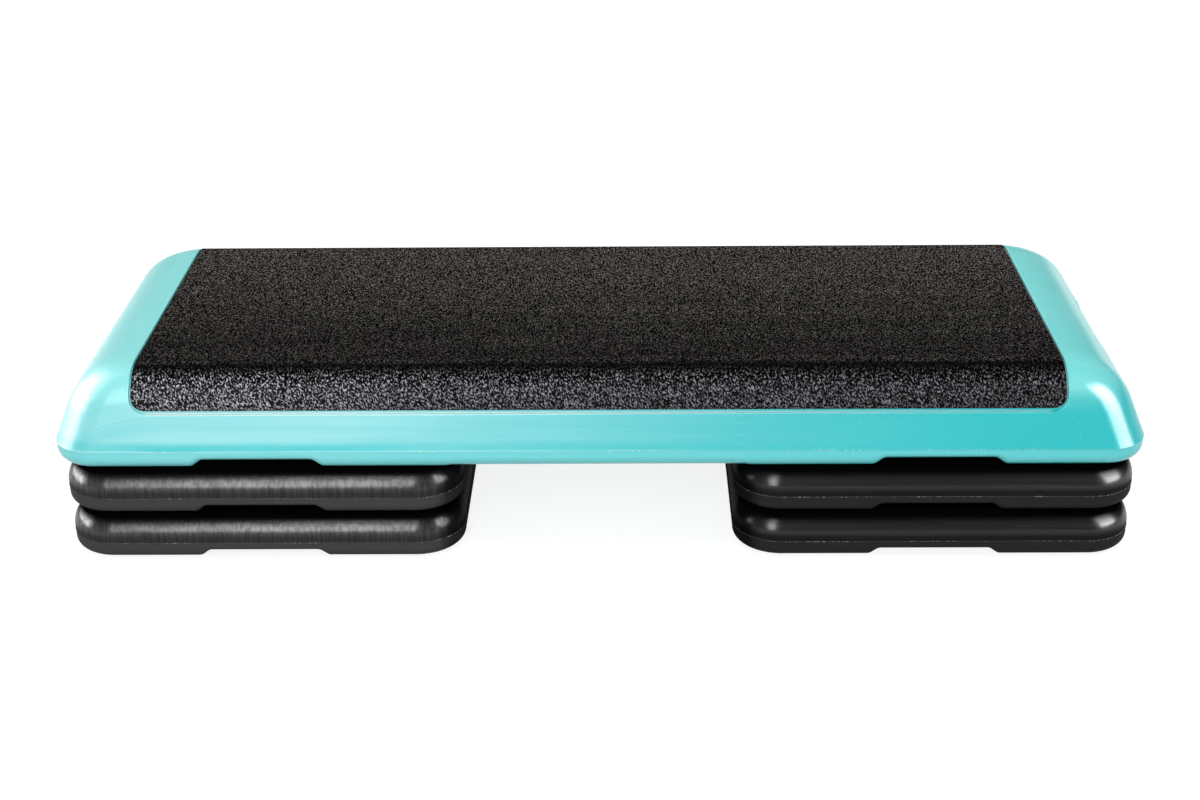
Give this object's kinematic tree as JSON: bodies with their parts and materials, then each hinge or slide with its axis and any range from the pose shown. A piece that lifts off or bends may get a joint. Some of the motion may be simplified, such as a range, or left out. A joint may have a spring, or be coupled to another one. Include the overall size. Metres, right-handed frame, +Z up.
{
  "type": "aerobic step platform",
  "caption": "Long low step platform: a moulded deck with rounded ends and a pebbled non-slip mat, standing on stacks of square interlocking risers that set its height.",
  "frame": {"origin": "on the floor, under the middle of the deck", "axes": "+X along the deck towards the end with the bare panel, +Y from the front to the back, +Z up"},
  "size_m": [1.092, 0.406, 0.2032],
  "materials": {
    "deck_plastic": "satin blow-moulded polyethylene",
    "riser_plastic": "satin blow-moulded polyethylene",
    "mat_rubber": "pebbled",
    "foot_rubber": "matt"
  },
  "bodies": {
    "lower_left_riser_body": {"lower_left_riser": "riser_plastic", "lower_left_riser_foot_front_outer": "foot_rubber", "lower_left_riser_foot_front_inner": "foot_rubber", "lower_left_riser_foot_rear_outer": "foot_rubber", "lower_left_riser_foot_rear_inner": "foot_rubber"},
    "lower_right_riser_body": {"lower_right_riser": "riser_plastic", "lower_right_riser_foot_front_outer": "foot_rubber", "lower_right_riser_foot_front_inner": "foot_rubber", "lower_right_riser_foot_rear_outer": "foot_rubber", "lower_right_riser_foot_rear_inner": "foot_rubber"},
    "upper_left_riser_body": {"upper_left_riser": "riser_plastic", "upper_left_riser_foot_front_outer": "foot_rubber", "upper_left_riser_foot_front_inner": "foot_rubber", "upper_left_riser_foot_rear_outer": "foot_rubber", "upper_left_riser_foot_rear_inner": "foot_rubber"},
    "upper_right_riser_body": {"upper_right_riser": "riser_plastic", "upper_right_riser_foot_front_outer": "foot_rubber", "upper_right_riser_foot_front_inner": "foot_rubber", "upper_right_riser_foot_rear_outer": "foot_rubber", "upper_right_riser_foot_rear_inner": "foot_rubber"},
    "deck_body": {"deck": "deck_plastic", "tread_mat": "mat_rubber", "deck_foot_left_front_outer": "foot_rubber", "deck_foot_left_front_inner": "foot_rubber", "deck_foot_left_rear_outer": "foot_rubber", "deck_foot_left_rear_inner": "foot_rubber", "deck_foot_right_front_outer": "foot_rubber", "deck_foot_right_front_inner": "foot_rubber", "deck_foot_right_rear_outer": "foot_rubber", "deck_foot_right_rear_inner": "foot_rubber"}
  },
  "joints": [
    {"name": "lift_upper", "type": "slide", "parent": "lower_left_riser_body", "child": "upper_left_riser_body", "axis": [0, 0, 1], "range_m": [0, 0.12]},
    {"name": "lift_deck", "type": "slide", "parent": "upper_left_riser_body", "child": "deck_body", "axis": [0, 0, 1], "range_m": [0, 0.12]},
    {"name": "leave_upper_right", "type": "slide", "parent": "deck_body", "child": "upper_right_riser_body", "axis": [0, 0, -1], "range_m": [0, 0.12]},
    {"name": "leave_lower_right", "type": "slide", "parent": "upper_right_riser_body", "child": "lower_right_riser_body", "axis": [0, 0, -1], "range_m": [0, 0.12]}
  ],
  "couplings": [
    {"joint": "leave_upper_right", "follows": "lift_deck", "ratio": 1},
    {"joint": "leave_lower_right", "follows": "lift_upper", "ratio": 1}
  ]
}
